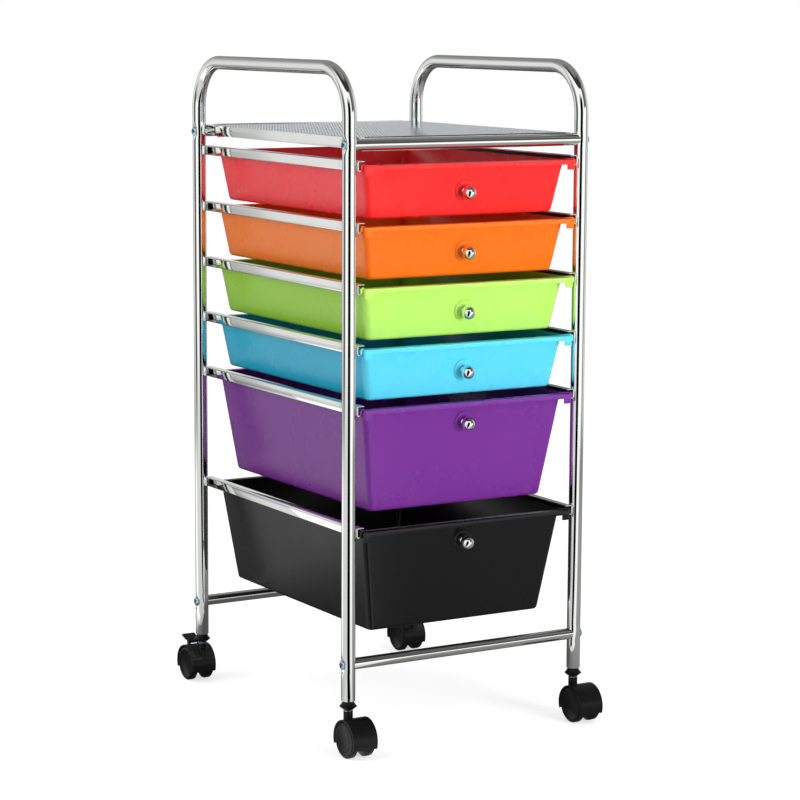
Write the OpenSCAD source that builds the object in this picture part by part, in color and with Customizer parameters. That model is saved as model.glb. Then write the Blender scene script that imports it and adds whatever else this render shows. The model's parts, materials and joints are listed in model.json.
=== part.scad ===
// Rolling drawer tower: two bent tube side frames carry six pull-out bins on channel rails,
// with an open mesh shelf above them and four swivelling twin-wheel casters below.
// Origin: on the floor, midway between the four posts. X is right, Y is back, Z is up.
// All lengths are in millimetres.

/* [Frame] */
// Distance between the centres of the left and right posts
post_span_x = 326; // [280:1:400]
// Distance between the centres of the front and rear posts
post_span_y = 392; // [320:4:460]
// Outer diameter of the frame tube
tube_d = 17; // [15:0.5:20]
// Wall of the frame tube
tube_wall = 1.2; // [0.8:0.1:1.6]
// Radius of the upper bends, to the tube's centre line
bend_r = 58; // [40:2:80]
// Height of the handle's centre line above the shelf bars' centre line
handle_rise = 88.6; // [84:0.2:160]
// Height of the lower cross bars' centre line above the open lower ends of the posts
lower_bar_rise = 44.3; // [36:0.1:80]

/* [Cross bars] */
// Outer diameter of the four cross bars
bar_d = 14; // [11:0.1:15]
// Wall of the cross bars
bar_wall = 1.2; // [0.8:0.1:1.6]
// Length of the solid plug in each end of a cross bar
bar_plug = 14; // [10:1:20]
// Shank diameter of the frame screws
frame_screw_d = 4; // [3:0.5:5]
// Head diameter of the frame screws
frame_screw_head_d = 12; // [10:0.5:13]
// Head height of the frame screws
frame_screw_head_h = 2.6; // [2:0.1:3.5]
// Diameter of the flat top of the frame screws
frame_screw_top_d = 8.6; // [7:0.2:9.4]
// Height of the straight side of the frame screws' heads
frame_screw_side_h = 1; // [0.6:0.1:1.6]
// Diameter of the drain hole below each lower frame screw
drain_hole_d = 2.4; // [2:0.1:3]
// Drop of the drain hole below the lower frame screw
drain_hole_drop = 9.5; // [8:0.5:12]

/* [Shelf] */
// Height of the shelf's side strips
strip_h = 13; // [11:0.5:18]
// Thickness of the side strips and of the mesh sheet
sheet_t = 1; // [0.8:0.1:1.5]
// Width of the plain border around the mesh
mesh_border = 5; // [4:0.5:8]
// Columns of openings across the mesh
mesh_columns = 15; // [8:1:15]
// Rows of openings from front to back
mesh_rows = 9; // [5:1:9]
// Width of a strand of the mesh
mesh_strand = 1.6; // [1:0.1:2.5]
// Height of the folded edge at the front and back of the mesh
skirt_h = 15.8; // [12:0.2:17]
// Length by which each end of the folded edge stops short of the mesh
skirt_setback = 12; // [10:1:30]

/* [Rails] */
// Height of a channel rail
rail_h = 12.2; // [11.8:0.1:15]
// Depth of a channel rail, from its web to the edges of its flanges
rail_w = 9.6; // [8:0.1:11]
// Thickness of the rail's sheet
rail_t = 1.2; // [1:0.1:1.4]
// Length by which a rail passes the post centres at the front and at the back
rail_over = 5.3; // [2:0.1:7.8]

/* [Bins] */
// Height of the four small bins
small_bin_h = 64.2; // [56:0.2:90]
// Height of the two large bins
large_bin_h = 128.6; // [110:0.2:170]
// Wall of a bin
bin_wall = 1.8; // [1.4:0.1:2.4]
// Floor of a bin
bin_floor = 2; // [1.5:0.1:3]
// Radius of a bin's upright corners
bin_corner_r = 7; // [5:0.5:12]
// Bevel between a bin's walls and its floor
bottom_round = 3; // [2:0.5:5]
// Thickness of the flat rim around a bin
rim_t = 2; // [1.6:0.1:2.4]
// Distance from a bin's body to the edge of its rim at each side
rim_side = 10.2; // [10:0.1:14]
// Distance from a bin's body to the front edge of its rim
rim_front = 13; // [12:0.5:16]
// Distance from a bin's body to the back edge of its rim
rim_back = 9.5; // [8:0.5:12]
// Height of the turned-down edge that slides in the rail
side_lip_h = 5.4; // [4:0.1:6.5]
// Height of the turned-down front edge
front_lip_h = 5.2; // [4:0.1:7]
// Distance by which the front lip's ends lie inside the rim's side edges
front_lip_setback = 3.6; // [3:0.1:5]
// Height of the tabs that stop against the front ends of the rails
tab_h = 11.6; // [11:0.1:14]
// Width of those tabs
tab_w = 11; // [9:0.5:14]
// Distance from the tabs' back to the front edge of the rim
tab_depth = 5.4; // [4:0.1:7]
// Inward lean of a small bin's side walls, in millimetres for each millimetre down
small_side_slope = 0.17; // [0.1:0.005:0.2]
// Inward lean of a large bin's side walls
large_side_slope = 0.145; // [0.1:0.005:0.16]
// Inward lean of a small bin's front wall
small_front_slope = 0.16; // [0.1:0.005:0.2]
// Inward lean of a large bin's front wall
large_front_slope = 0.14; // [0.1:0.005:0.16]
// Inward lean of the back walls
back_slope = 0.1; // [0.05:0.005:0.12]
// Free height under each small bin
small_bin_gap = 7.9; // [7:0.1:20]
// Free height under the upper large bin
large_bin_gap = 17.8; // [7:0.1:30]
// Free height between the lowest bin and the lower cross bars
lowest_bin_gap = 24.6; // [10:0.1:60]
// Free height between the highest bin and the shelf bars
shelf_gap = 17; // [16:0.1:40]
// Free length behind the bins, to the back ends of the rails
bin_back_space = 6; // [3:0.5:20]

/* [Knobs] */
// Diameter of the knob's ball
knob_d = 17; // [12:0.5:17.5]
// Distance from the bin's front wall to the centre of the ball
knob_reach = 11.8; // [11.6:0.1:16]
// Diameter of the knob's neck
knob_neck_d = 7.4; // [6.5:0.1:8]
// Diameter of the knob's foot
knob_foot_d = 9.2; // [8.6:0.2:12]
// Thickness of the knob's foot
knob_foot_h = 1.4; // [1:0.1:2]
// Drop from a small bin's rim to its knob
small_knob_drop = 34; // [24:0.5:40]
// Drop from a large bin's rim to its knob
large_knob_drop = 25.2; // [24:0.1:70]
// Diameter of the raised round seat under the knob
boss_d = 26; // [18:0.5:28]
// Height of that seat
boss_h = 1.5; // [1:0.1:2.5]
// Shank diameter of the knob screw
knob_screw_d = 4; // [3:0.5:5]
// Head diameter of the knob screw
knob_screw_head_d = 8; // [7:0.5:10]
// Head height of the knob screw
knob_screw_head_h = 2.2; // [1.8:0.1:3]
// Depth of the tapped hole in the knob
knob_hole_depth = 9; // [7:0.5:10]

/* [Casters] */
// Diameter of a caster wheel
wheel_d = 44; // [40:1:60]
// Width of a caster over its hood
hood_width = 33; // [30:1:44]
// Wall of the hood over the wheels
hood_wall = 2; // [1.5:0.1:3]
// Distance from the swivel axis back to the wheel axle
caster_trail = 18; // [14:0.5:24]
// Thickness of the web between the two wheels
hood_web = 6; // [5:0.5:8]
// Angle by which the hood reaches below the axle on each side
hood_drop_angle = 20; // [5:1:25]
// Diameter of the neck that turns on the stem
neck_d = 11.5; // [11:0.5:14]
// Height of the neck above the top of the hood
neck_rise = 5.4; // [4:0.1:10]
// Width of the slope on the inner side of each wheel
wheel_slope_w = 5; // [3:0.5:6]
// Height of that slope
wheel_slope_h = 7.2; // [5:0.2:9]
// Distance from a wheel's outer face to the hood's side
wheel_set_in = 0.5; // [0.3:0.1:1]
// Bevel at a wheel's outer edge
wheel_bevel = 1.5; // [1:0.1:2.5]
// Width of the raised rim on a wheel's outer face
wheel_rim_w = 4.5; // [3.5:0.1:6]
// Depth of the dish inside that rim
wheel_dish = 0.8; // [0.4:0.1:1.2]
// Diameter of the swivel stem
stem_d = 8; // [7:0.5:8.5]
// Thickness of the collar on the stem
collar_t = 1.3; // [1:0.1:2]
// Diameter of the wheel axle
axle_d = 6; // [5:0.5:8]
// Height of the double cone below the end of each post
cone_h = 11; // [9:0.5:15]
// Largest diameter of the double cone
cone_d = 21.4; // [20.4:0.1:26]
// Diameter of the double cone at its lower end
cone_low_d = 11; // [10:0.5:12]
// Height of the cone's widest line above its lower end
cone_belt_h = 4.4; // [3:0.1:6]
// Bevel beside that line
cone_belt_bevel = 0.7; // [0.4:0.1:1]
// Length of the plug inside each post
insert_plug = 30; // [24:1:34]
// Width of the brake pedal
pedal_w = 18; // [14:1:22]
// Thickness of the brake pedal's plate
pedal_t = 2.2; // [1.8:0.1:3]
// Angle by which the released brake pedal rises towards the back
pedal_rise_angle = 18; // [16:1:22]
// Distance from the wheel axle back to the pedal's pins
pedal_back = 8; // [6:0.5:10]
// Radius of the pedal's barrel
pedal_barrel_r = 3; // [2.5:0.1:3.5]
// Radius of the pedal's pins
pedal_pin_r = 1.5; // [1.2:0.1:1.8]
// Thickness of each ear that holds the pedal
ear_t = 2.5; // [2:0.1:3]
// Step from the pedal's plate down to its neck, and from its barrel out to half of the ear's wall
pedal_step = 0.2; // [0.1:0.05:0.3]

/* [Clearances] */
// Gap between welded or seated metal pieces
seat_gap = 0.05; // [0.03:0.01:0.1]
// Radial clearance of a screw in the hole it passes through
screw_clearance = 0.1; // [0.05:0.01:0.3]
// Radial clearance of a shaft in the piece that turns on it
running_clearance = 0.05; // [0.02:0.01:0.1]
// Gap under the bin's sliding edge and in front of the rail's end
slide_gap = 0.3; // [0.2:0.05:0.5]
// Gap between the bin's edge and the web of the rail at each side
side_play = 1.8; // [0.5:0.1:3]
// Gap between a wheel and the hood around it
wheel_gap = 1; // [0.5:0.1:2]
// Gap between the pedal's barrel and the hood under it
pedal_gap = 0.8; // [0.5:0.1:2]

/* [Hidden] */
$fn = 48;

// A little extra length that carries a cut clear through a surface
cut = 1;

// Colours, as red, green and blue from 0 to 1
chrome = [0.82, 0.83, 0.85];
black_plastic = [0.07, 0.07, 0.07];
zinc = [0.62, 0.68, 0.72];
bin_colours = [
    [0.93, 0.13, 0.14], [1.0, 0.42, 0.1], [0.62, 0.85, 0.25],
    [0.3, 0.8, 0.92], [0.42, 0.16, 0.5], [0.09, 0.09, 0.09]
];

// Caster heights, from the floor up
wheel_r = wheel_d / 2;
hood_inner_r = wheel_r + wheel_gap;
hood_r = hood_inner_r + hood_wall;
axle_z = wheel_r;
neck_root_z = axle_z + hood_r / 2;
web_top = hood_inner_r - 1.5 * hood_wall;
neck_top_z = axle_z + hood_r + neck_rise;
collar_z = neck_top_z + slide_gap / 2;
cone_z = collar_z + collar_t + slide_gap / 2;
leg_end_z = cone_z + cone_h;

// Heights of the stack, from the lower cross bars up to the handle
bin_heights = [small_bin_h, small_bin_h, small_bin_h, small_bin_h, large_bin_h, large_bin_h];
side_slopes = [
    small_side_slope, small_side_slope, small_side_slope, small_side_slope, large_side_slope, large_side_slope
];
front_slopes = [
    small_front_slope, small_front_slope, small_front_slope, small_front_slope,
    large_front_slope, large_front_slope
];
knob_drops = [
    small_knob_drop, small_knob_drop, small_knob_drop, small_knob_drop, large_knob_drop, large_knob_drop
];
lower_bar_z = leg_end_z + lower_bar_rise;
rim_6_z = lower_bar_z + bar_d / 2 + lowest_bin_gap + large_bin_h;
rim_5_z = rim_6_z + large_bin_gap + large_bin_h;
small_pitch = small_bin_h + small_bin_gap;
rim_heights = [
    rim_5_z + 4 * small_pitch, rim_5_z + 3 * small_pitch, rim_5_z + 2 * small_pitch,
    rim_5_z + small_pitch, rim_5_z, rim_6_z
];
shelf_bar_z = rim_heights[0] + shelf_gap + bar_d / 2;
handle_z = shelf_bar_z + handle_rise;

// Places of the frame
tube_r = tube_d / 2;
tube_inner_r = tube_r - tube_wall;
post_x = post_span_x / 2;
post_y = post_span_y / 2;
post_inner_x = post_x - tube_r;
mesh_z = shelf_bar_z + bar_d / 2 + seat_gap;
mesh_top_z = mesh_z + sheet_t;

// Places of the rails and of what slides in them
rail_web_x = post_inner_x - seat_gap;
rail_end_y = post_y + rail_over;
rim_over_rail = -rail_h / 2 + rail_t + slide_gap + side_lip_h;
rim_x = rail_web_x - rail_t - side_play;
rim_front_y = -rail_end_y - slide_gap - tab_depth;
rim_back_y = rail_end_y - bin_back_space;
front_lip_x = rim_x - front_lip_setback;
body_x = rim_x - rim_side;
body_front_y = rim_front_y + rim_front;
body_back_y = rim_back_y - rim_back;

// Brake pedal, seen from the side with the wheel axle at the origin
pedal_pivot_r = hood_r + pedal_gap + pedal_barrel_r;
pedal_pivot = [pedal_back, sqrt(pedal_pivot_r * pedal_pivot_r - pedal_back * pedal_back)];
ear_r = pedal_barrel_r + 2 * pedal_step;
ear_inner_x = pedal_w / 2 - ear_t - slide_gap * 2;

// Frame

// Places children at the four posts: x side, y side
module at_posts() {
    for (x = [-post_x, post_x], y = [-post_y, post_y]) translate([x, y, 0]) children();
}

// Solid rod of radius r along the whole path of a side frame, longer by extra at its open ends
module frame_path(r, extra) {
    bend_z = handle_z - bend_r;
    bend_y = post_y - bend_r;
    for (side = [0, 1]) mirror([0, side, 0]) {
        translate([0, post_y, leg_end_z - extra]) cylinder(h = bend_z - leg_end_z + extra, r = r);
        translate([0, bend_y, bend_z]) rotate([90, 0, 90]) rotate_extrude(angle = 90)
            translate([bend_r, 0]) circle(r = r);
    }
    translate([0, -bend_y, handle_z]) rotate([-90, 0, 0]) cylinder(h = 2 * bend_y, r = r);
}

// Bent tube with its two legs and the handle, side is -1 for left and 1 for right
module side_frame(side) {
    color(chrome) difference() {
        translate([side * post_x, 0, 0]) difference() {
            frame_path(tube_r, 0);
            frame_path(tube_inner_r, cut);
        }
        for (y = [-post_y, post_y]) {
            for (z = [lower_bar_z, shelf_bar_z]) translate([side * post_x, y, z]) rotate([0, 90, 0])
                cylinder(h = tube_d + 2 * cut, d = frame_screw_d + 2 * screw_clearance, center = true);
            translate([side * (post_x + tube_r), y, lower_bar_z - drain_hole_drop]) rotate([0, 90, 0])
                cylinder(h = tube_r, d = drain_hole_d, center = true);
        }
    }
}

// Round bar between two posts, with saddle ends, solid end plugs and tapped holes
module cross_bar(y, z) {
    color(chrome) difference() {
        translate([0, y, z]) rotate([0, 90, 0]) cylinder(h = post_span_x, d = bar_d, center = true);
        translate([0, y, z]) rotate([0, 90, 0])
            cylinder(h = 2 * (post_inner_x - bar_plug), d = bar_d - 2 * bar_wall, center = true);
        translate([0, y, z]) rotate([0, 90, 0])
            cylinder(h = post_span_x + cut, d = frame_screw_d + 2 * seat_gap, center = true);
        for (x = [-post_x, post_x]) translate([x, y, z - bar_d])
            cylinder(h = 2 * bar_d, r = tube_r + seat_gap);
    }
}

// One button-head screw along X, with its head outside the post
module frame_screw(side, y, z) {
    translate([side * (post_x + tube_r + seat_gap), y, z]) rotate([0, side * 90, 0]) difference() {
        union() {
            rotate_extrude() polygon([
                [0, 0], [frame_screw_head_d / 2, 0], [frame_screw_head_d / 2, frame_screw_side_h],
                [frame_screw_top_d / 2, frame_screw_head_h], [0, frame_screw_head_h]
            ]);
            translate([0, 0, -tube_d - bar_plug + cut])
                cylinder(h = tube_d + bar_plug, d = frame_screw_d);
        }
        translate([0, 0, frame_screw_head_h / 2])
            cylinder(h = frame_screw_head_h, d = frame_screw_d, $fn = 6);
    }
}

module frame_screws() {
    color(zinc) for (side = [-1, 1], y = [-post_y, post_y], z = [lower_bar_z, shelf_bar_z])
        frame_screw(side, y, z);
}

// Rails

// Channel rail welded to the inner side of the posts, open towards the bin
module rail(side, index) {
    web = side * rail_web_x;
    z = rim_heights[index] - rim_over_rail;
    color(chrome) translate([web, rail_end_y, z]) rotate([90, 0, 0]) linear_extrude(2 * rail_end_y) polygon([
        [0, -rail_h / 2], [-side * rail_w, -rail_h / 2], [-side * rail_w, -rail_h / 2 + rail_t],
        [-side * rail_t, -rail_h / 2 + rail_t], [-side * rail_t, rail_h / 2 - rail_t],
        [-side * rail_w, rail_h / 2 - rail_t], [-side * rail_w, rail_h / 2], [0, rail_h / 2]
    ]);
}

// Shelf

// Upright strip that closes the side of the shelf between the two bars
module shelf_strip(side) {
    length = post_span_y - bar_d - 2 * seat_gap;
    color(chrome) translate([side * (rail_web_x - sheet_t / 2), 0, mesh_top_z - strip_h / 2])
        cube([sheet_t, length, strip_h], center = true);
}

// Openings of the mesh: four-sided, longer from front to back, in two staggered grids
module mesh_openings(width, length) {
    pitch_x = width / mesh_columns;
    pitch_y = length / mesh_rows;
    slant = sqrt(pitch_x * pitch_x + pitch_y * pitch_y) / 2;
    half_x = pitch_x / 2 - mesh_strand * slant / pitch_y;
    half_y = pitch_y / 2 - mesh_strand * slant / pitch_x;
    intersection() {
        square([width, length], center = true);
        for (i = [0 : 2 * mesh_columns], j = [0 : 2 * mesh_rows]) if ((i + j) % 2 == 0)
            translate([(i - mesh_columns) * pitch_x / 2, (j - mesh_rows) * pitch_y / 2])
                polygon([[-half_x, 0], [0, -half_y], [half_x, 0], [0, half_y]]);
    }
}

// Folded edge of the mesh sheet, seen from the side: a short piece of the sheet, a quarter of a ring
// round the shelf bar and a flat strip. The bar's centre is the origin, X points outwards and Y up.
module fold_outline() {
    inner_r = bar_d / 2 + seat_gap;
    outer_r = inner_r + sheet_t;
    intersection() {
        difference() {
            circle(r = outer_r);
            circle(r = inner_r);
        }
        square(outer_r + cut);
    }
    translate([-cut, inner_r]) square([cut, sheet_t]);
    translate([inner_r, outer_r - skirt_h]) square([sheet_t, skirt_h - outer_r + cut / 2]);
}

// Mesh sheet that lies on the shelf bars, its front and back edges folded down round them
module shelf_mesh() {
    width = 2 * (rail_web_x - sheet_t - seat_gap);
    fold_width = width - 2 * skirt_setback;
    color(chrome) {
        translate([0, 0, mesh_z]) linear_extrude(sheet_t) difference() {
            square([width, post_span_y], center = true);
            mesh_openings(width - 2 * mesh_border, post_span_y - 2 * mesh_border);
        }
        for (side = [-1, 1]) translate([-side * fold_width / 2, side * post_y, shelf_bar_z])
            rotate([90, 0, side * 90]) linear_extrude(fold_width) fold_outline();
    }
}

// Bins

// Tapered block of a bin's body, measured down from the rim: from depth top to depth bottom
module bin_body(index, top, bottom, inset) {
    r = bin_corner_r - inset;
    levels = [[top, 0], [bottom - bottom_round, 0], [bottom, bottom_round]];
    hull() for (level = levels) {
        depth = level[0];
        x = body_x - depth * side_slopes[index] - inset - level[1];
        front = body_front_y + depth * front_slopes[index] + inset + level[1];
        back = body_back_y - depth * back_slope - inset - level[1];
        for (cx = [-x + r, x - r], cy = [front + r, back - r]) translate([cx, cy, -depth])
            cylinder(h = 0.01, r = r, $fn = 32);
    }
}

// Places children on the front wall at a bin's knob, with Z pointing out of the wall
module at_knob(index) {
    drop = knob_drops[index];
    translate([0, body_front_y + drop * front_slopes[index], rim_heights[index] - drop])
        rotate([90 + atan(front_slopes[index]), 0, 0]) children();
}

// Rim around the bin: flat top, edges that slide in the rails, front lip and stop tabs
module bin_rim() {
    side_length = rim_back_y + rail_end_y - slide_gap;
    for (side = [-1, 1]) {
        translate([side * rim_x - (side + 1) / 2 * bin_wall, -rail_end_y + slide_gap, -side_lip_h])
            cube([bin_wall, side_length, side_lip_h]);
        translate([side * front_lip_x - (side + 1) / 2 * tab_w, rim_front_y, -tab_h])
            cube([tab_w, tab_depth, tab_h]);
    }
    translate([-rim_x, -rail_end_y + slide_gap, -rim_t]) cube([2 * rim_x, side_length, rim_t]);
    translate([-front_lip_x, rim_front_y, -rim_t])
        cube([2 * front_lip_x, rim_front, rim_t]);
    translate([-front_lip_x, rim_front_y, -front_lip_h]) cube([2 * front_lip_x, bin_wall, front_lip_h]);
}

module bin(index) {
    height = bin_heights[index];
    color(bin_colours[index]) difference() {
        union() {
            translate([0, 0, rim_heights[index]]) {
                bin_body(index, 0, height, 0);
                bin_rim();
            }
            at_knob(index) translate([0, 0, -bin_wall / 2]) cylinder(h = boss_h + bin_wall / 2, d = boss_d);
        }
        translate([0, 0, rim_heights[index]]) bin_body(index, -cut, height - bin_floor, bin_wall);
        at_knob(index) cylinder(h = 4 * bin_wall, d = knob_screw_d + 2 * screw_clearance, center = true);
    }
}

// Ball knob with a short neck and a tapped hole
module knob(index) {
    color(chrome) at_knob(index) difference() {
        union() {
            translate([0, 0, boss_h + seat_gap]) cylinder(h = knob_foot_h, d = knob_foot_d);
            translate([0, 0, boss_h + seat_gap]) cylinder(h = knob_reach - boss_h, d = knob_neck_d);
            translate([0, 0, knob_reach]) sphere(d = knob_d);
        }
        cylinder(h = boss_h + knob_hole_depth, d = knob_screw_d + 2 * seat_gap);
    }
}

// Pan-head screw put in from inside the bin
module knob_screw(index) {
    under_head = bin_wall * cos(atan(front_slopes[index])) + seat_gap;
    color(zinc) at_knob(index) {
        translate([0, 0, -under_head - knob_screw_head_h])
            cylinder(h = knob_screw_head_h, d = knob_screw_head_d);
        translate([0, 0, -under_head - cut])
            cylinder(h = under_head + boss_h + knob_hole_depth, d = knob_screw_d);
    }
}

// Casters

// Plug and double cone that close the lower end of a post and hold the stem
module leg_insert() {
    difference() {
        union() {
            translate([0, 0, cone_z]) rotate_extrude() polygon([
                [0, 0], [cone_low_d / 2, 0],
                [cone_d / 2 - cone_belt_bevel, cone_belt_h - cone_belt_bevel], [cone_d / 2, cone_belt_h],
                [cone_d / 2 - cone_belt_bevel, cone_belt_h + cone_belt_bevel],
                [tube_inner_r - slide_gap, cone_h], [0, cone_h]
            ]);
            translate([0, 0, cone_z + cone_h - cut])
                cylinder(h = insert_plug + cut, r = tube_inner_r - seat_gap);
        }
        translate([0, 0, cone_z - cut])
            cylinder(h = cone_h + insert_plug + 2 * cut, r = stem_d / 2 + seat_gap);
    }
}

module leg_inserts() {
    color(black_plastic) at_posts() leg_insert();
}

// Places children at a caster, turned so that the wheel trails towards the given end
module at_caster(side, end) {
    translate([side * post_x, end * post_y, 0]) rotate([0, 0, end < 0 ? 180 : 0]) children();
}

// Steel stem that stands in the hood's neck and in the leg insert, with its collar
module stem(side, end) {
    bottom = axle_z + hood_r - hood_wall * 3;
    color(zinc) at_caster(side, end) {
        translate([0, 0, bottom]) cylinder(h = leg_end_z + insert_plug - cut - bottom, d = stem_d);
        translate([0, 0, collar_z]) cylinder(h = collar_t, d = neck_d);
    }
}

// Side outline of the hood's shell, around the wheel axle at the origin
module hood_outline() {
    reach = 2 * hood_r;
    difference() {
        circle(r = hood_r);
        circle(r = hood_inner_r);
        polygon([
            [0, 0], [-reach * cos(hood_drop_angle), -reach * sin(hood_drop_angle)], [-reach, -reach * 2],
            [reach, -reach * 2], [reach * cos(hood_drop_angle), -reach * sin(hood_drop_angle)]
        ]);
    }
}

// Places children in a caster's side view: X is back, Y is up, Z is to the side, axle at the origin
module side_view() {
    translate([0, caster_trail, axle_z]) rotate([90, 0, 90]) children();
}

// Plastic hood with the shell over the wheels, the web between them and the neck
module hood(side, end, braked) {
    color(black_plastic) at_caster(side, end) difference() {
        union() {
            side_view() {
                translate([0, 0, -hood_width / 2]) linear_extrude(hood_width) hood_outline();
                translate([0, 0, -hood_web / 2]) linear_extrude(hood_web) difference() {
                    circle(r = hood_inner_r + hood_wall / 2);
                    translate([-hood_r, -2 * hood_r - hood_inner_r * sin(hood_drop_angle)])
                        square([2 * hood_r, 2 * hood_r]);
                }
                translate([-caster_trail - neck_d / 2, 0, -hood_web / 2])
                    cube([caster_trail, web_top, hood_web]);
                if (braked) for (ear = [-1, 1]) pedal_ear(ear);
            }
            translate([0, 0, neck_root_z]) cylinder(h = neck_top_z - neck_root_z, d = neck_d);
        }
        translate([0, 0, axle_z + hood_r - hood_wall * 3 - slide_gap])
            cylinder(h = neck_rise + hood_r, r = stem_d / 2 + running_clearance);
        side_view() cylinder(h = hood_width, d = axle_d + 2 * seat_gap, center = true);
    }
}

// Ear of the hood that holds one end of the pedal's pins
module pedal_ear(ear) {
    pin_hole = 2 * (pedal_pin_r + running_clearance);
    translate([0, 0, ear * (ear_inner_x + ear_t / 2)]) difference() {
        union() {
            translate([pedal_pivot[0], pedal_pivot[1], 0])
                cylinder(h = ear_t, r = ear_r, center = true);
            translate([pedal_pivot[0], pedal_pivot[1] / 2, 0])
                cube([2 * pedal_barrel_r, pedal_pivot[1], ear_t], center = true);
        }
        translate([pedal_pivot[0], pedal_pivot[1], 0]) cylinder(h = 2 * ear_t, d = pin_hole, center = true);
        cylinder(h = 2 * ear_t, r = hood_inner_r, center = true);
    }
}

// Brake pedal with a barrel between the ears and a pin at each end
module brake_pedal(side, end) {
    reach = hood_r - pedal_back;
    plate_start = ear_r + pedal_t / 2 + slide_gap;
    neck_t = pedal_t - 2 * pedal_step;
    color(black_plastic) at_caster(side, end) side_view() translate([pedal_pivot[0], pedal_pivot[1], 0]) {
        cylinder(h = 2 * (ear_inner_x - slide_gap), r = pedal_barrel_r, center = true);
        cylinder(h = 2 * (ear_inner_x + ear_t - slide_gap), r = pedal_pin_r, center = true);
        rotate([0, 0, pedal_rise_angle]) {
            translate([0, -neck_t / 2, -ear_inner_x + 2 * slide_gap])
                cube([plate_start + cut, neck_t, 2 * (ear_inner_x - 2 * slide_gap)]);
            translate([plate_start, -pedal_t / 2, -pedal_w / 2])
                cube([reach / cos(pedal_rise_angle) - plate_start, pedal_t, pedal_w]);
        }
    }
}

module axle(side, end) {
    color(zinc) at_caster(side, end) side_view()
        cylinder(h = hood_width - 4 * hood_wall, d = axle_d, center = true);
}

// One wheel on its half of the axle, with a chamfered inner edge and a shallow dish outside
module wheel() {
    inner = hood_web / 2 + wheel_gap / 2;
    outer = hood_width / 2 - wheel_set_in;
    dish_r = wheel_r - wheel_rim_w;
    bore_end = hood_width / 2 - 2 * hood_wall + slide_gap;
    difference() {
        rotate_extrude($fn = 64) polygon([
            [0, inner], [wheel_r - wheel_slope_h, inner], [wheel_r, inner + wheel_slope_w],
            [wheel_r, outer - wheel_bevel], [wheel_r - wheel_bevel, outer], [dish_r, outer],
            [dish_r - wheel_dish, outer - wheel_dish], [0, outer - wheel_dish]
        ]);
        translate([0, 0, inner - cut])
            cylinder(h = bore_end - inner + cut, d = axle_d + 2 * running_clearance);
    }
}

// The two wheels of a caster
module wheels(side, end) {
    color(black_plastic) at_caster(side, end) side_view() {
        wheel();
        mirror([0, 0, 1]) wheel();
    }
}

side_frame(-1);  // left_side_frame
side_frame(1);  // right_side_frame
rail(-1, 0);  // left_rail_1
rail(-1, 1);  // left_rail_2
rail(-1, 2);  // left_rail_3
rail(-1, 3);  // left_rail_4
rail(-1, 4);  // left_rail_5
rail(-1, 5);  // left_rail_6
rail(1, 0);  // right_rail_1
rail(1, 1);  // right_rail_2
rail(1, 2);  // right_rail_3
rail(1, 3);  // right_rail_4
rail(1, 4);  // right_rail_5
rail(1, 5);  // right_rail_6
cross_bar(-post_y, shelf_bar_z);  // shelf_front_bar
cross_bar(post_y, shelf_bar_z);  // shelf_rear_bar
shelf_strip(-1);  // shelf_left_strip
shelf_strip(1);  // shelf_right_strip
shelf_mesh();
cross_bar(-post_y, lower_bar_z);  // bottom_front_bar
cross_bar(post_y, lower_bar_z);  // bottom_rear_bar
frame_screws();
leg_inserts();
bin(0);  // drawer_1_bin
bin(1);  // drawer_2_bin
bin(2);  // drawer_3_bin
bin(3);  // drawer_4_bin
bin(4);  // drawer_5_bin
bin(5);  // drawer_6_bin
knob(0);  // drawer_1_knob
knob(1);  // drawer_2_knob
knob(2);  // drawer_3_knob
knob(3);  // drawer_4_knob
knob(4);  // drawer_5_knob
knob(5);  // drawer_6_knob
knob_screw(0);  // drawer_1_knob_screw
knob_screw(1);  // drawer_2_knob_screw
knob_screw(2);  // drawer_3_knob_screw
knob_screw(3);  // drawer_4_knob_screw
knob_screw(4);  // drawer_5_knob_screw
knob_screw(5);  // drawer_6_knob_screw
hood(-1, -1, false);  // front_left_hood
stem(-1, -1);  // front_left_stem
axle(-1, -1);  // front_left_axle
wheels(-1, -1);  // front_left_wheels
hood(1, -1, false);  // front_right_hood
stem(1, -1);  // front_right_stem
axle(1, -1);  // front_right_axle
wheels(1, -1);  // front_right_wheels
hood(-1, 1, true);  // rear_left_hood
stem(-1, 1);  // rear_left_stem
axle(-1, 1);  // rear_left_axle
wheels(-1, 1);  // rear_left_wheels
brake_pedal(-1, 1);  // rear_left_brake_pedal
hood(1, 1, true);  // rear_right_hood
stem(1, 1);  // rear_right_stem
axle(1, 1);  // rear_right_axle
wheels(1, 1);  // rear_right_wheels
brake_pedal(1, 1);  // rear_right_brake_pedal
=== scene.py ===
import json
import math
import bmesh
import bpy
from mathutils import Matrix, Vector

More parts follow.
